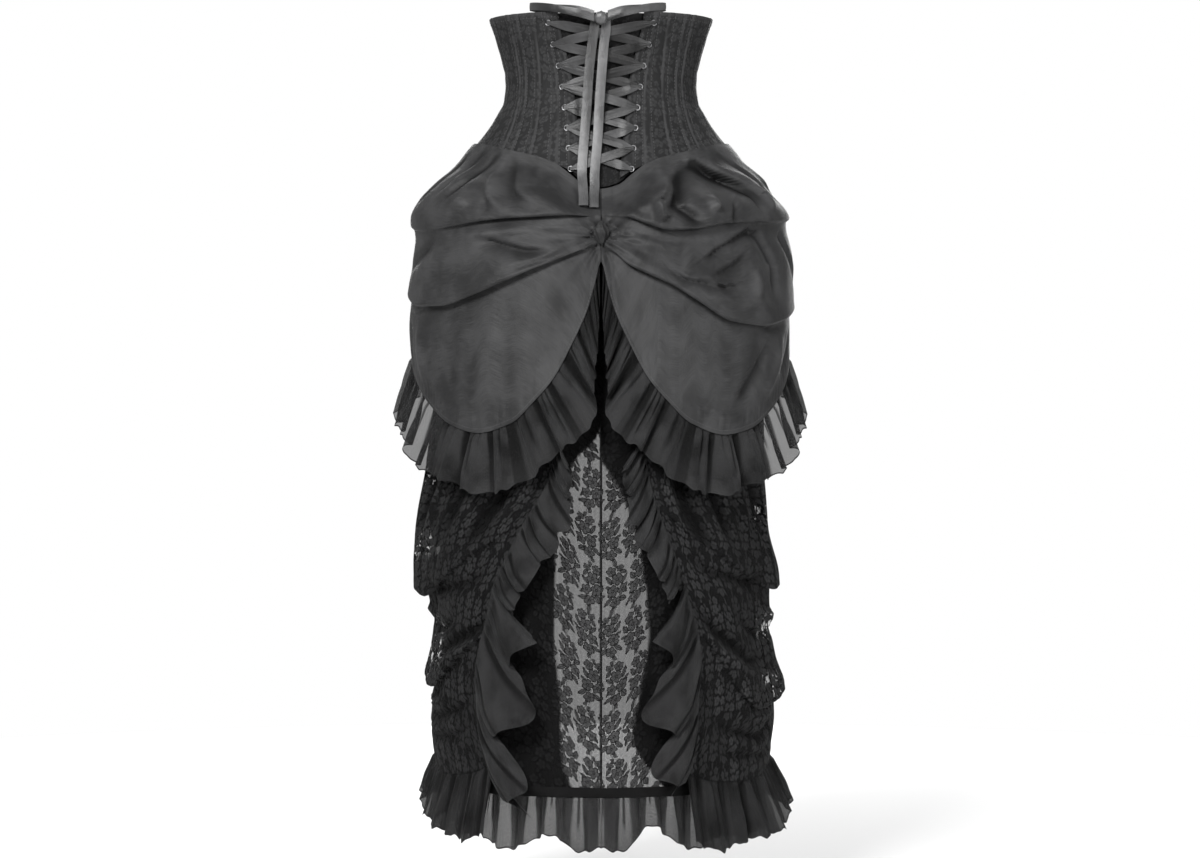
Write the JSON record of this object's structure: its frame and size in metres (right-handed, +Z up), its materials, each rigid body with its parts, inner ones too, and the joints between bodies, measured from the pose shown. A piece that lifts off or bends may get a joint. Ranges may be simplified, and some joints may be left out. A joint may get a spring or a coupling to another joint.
{
  "type": "corset dress",
  "caption": "Dark underbust corset laced up the back, with a tucked and gathered satin overskirt, ruffles and a long see-through lace skirt looped up at the sides.",
  "frame": {"origin": "centre of the waist, where the wearer holds the dress up", "axes": "+Z up along the body, -Y out of the laced back, +X to the wearer's right"},
  "size_m": [0.5373, 0.3863, 1.0683],
  "materials": {
    "brocade": "matte woven flower pattern",
    "taffeta": "soft sheen",
    "satin_ribbon": "satin",
    "chiffon": "matte, half see-through",
    "lace": "matte flower lace on net",
    "net": "matte, see-through net",
    "binding": "matte"
  },
  "bodies": {
    "root": {"corset_front": "brocade", "modesty_panel": "brocade", "bow_knot": "satin_ribbon", "overskirt_front": "taffeta", "overskirt_ruffle_front": "chiffon", "gather_knot": "taffeta", "corset_back_left": "brocade", "corset_side_back_left": "brocade", "corset_side_left": "brocade", "corset_side_front_left": "brocade", "lacing_left": "satin_ribbon", "bow_loop_left": "satin_ribbon", "ribbon_tail_left": "satin_ribbon", "overskirt_left": "taffeta", "overskirt_ruffle_left": "chiffon", "lace_back_left": "lace", "lace_side_left": "lace", "hem_band_left": "binding", "hem_ruffle_left": "net", "drape_left": "lace", "cascade_upper_left": "chiffon", "cascade_lower_left": "chiffon", "drape_ruffle_left": "net", "corset_back_right": "brocade", "corset_side_back_right": "brocade", "corset_side_right": "brocade", "corset_side_front_right": "brocade", "lacing_right": "satin_ribbon", "bow_loop_right": "satin_ribbon", "ribbon_tail_right": "satin_ribbon", "overskirt_right": "taffeta", "overskirt_ruffle_right": "chiffon", "lace_back_right": "lace", "lace_side_right": "lace", "hem_band_right": "binding", "hem_ruffle_right": "net", "drape_right": "lace", "cascade_upper_right": "chiffon", "cascade_lower_right": "chiffon", "drape_ruffle_right": "net"}
  },
  "joints": []
}
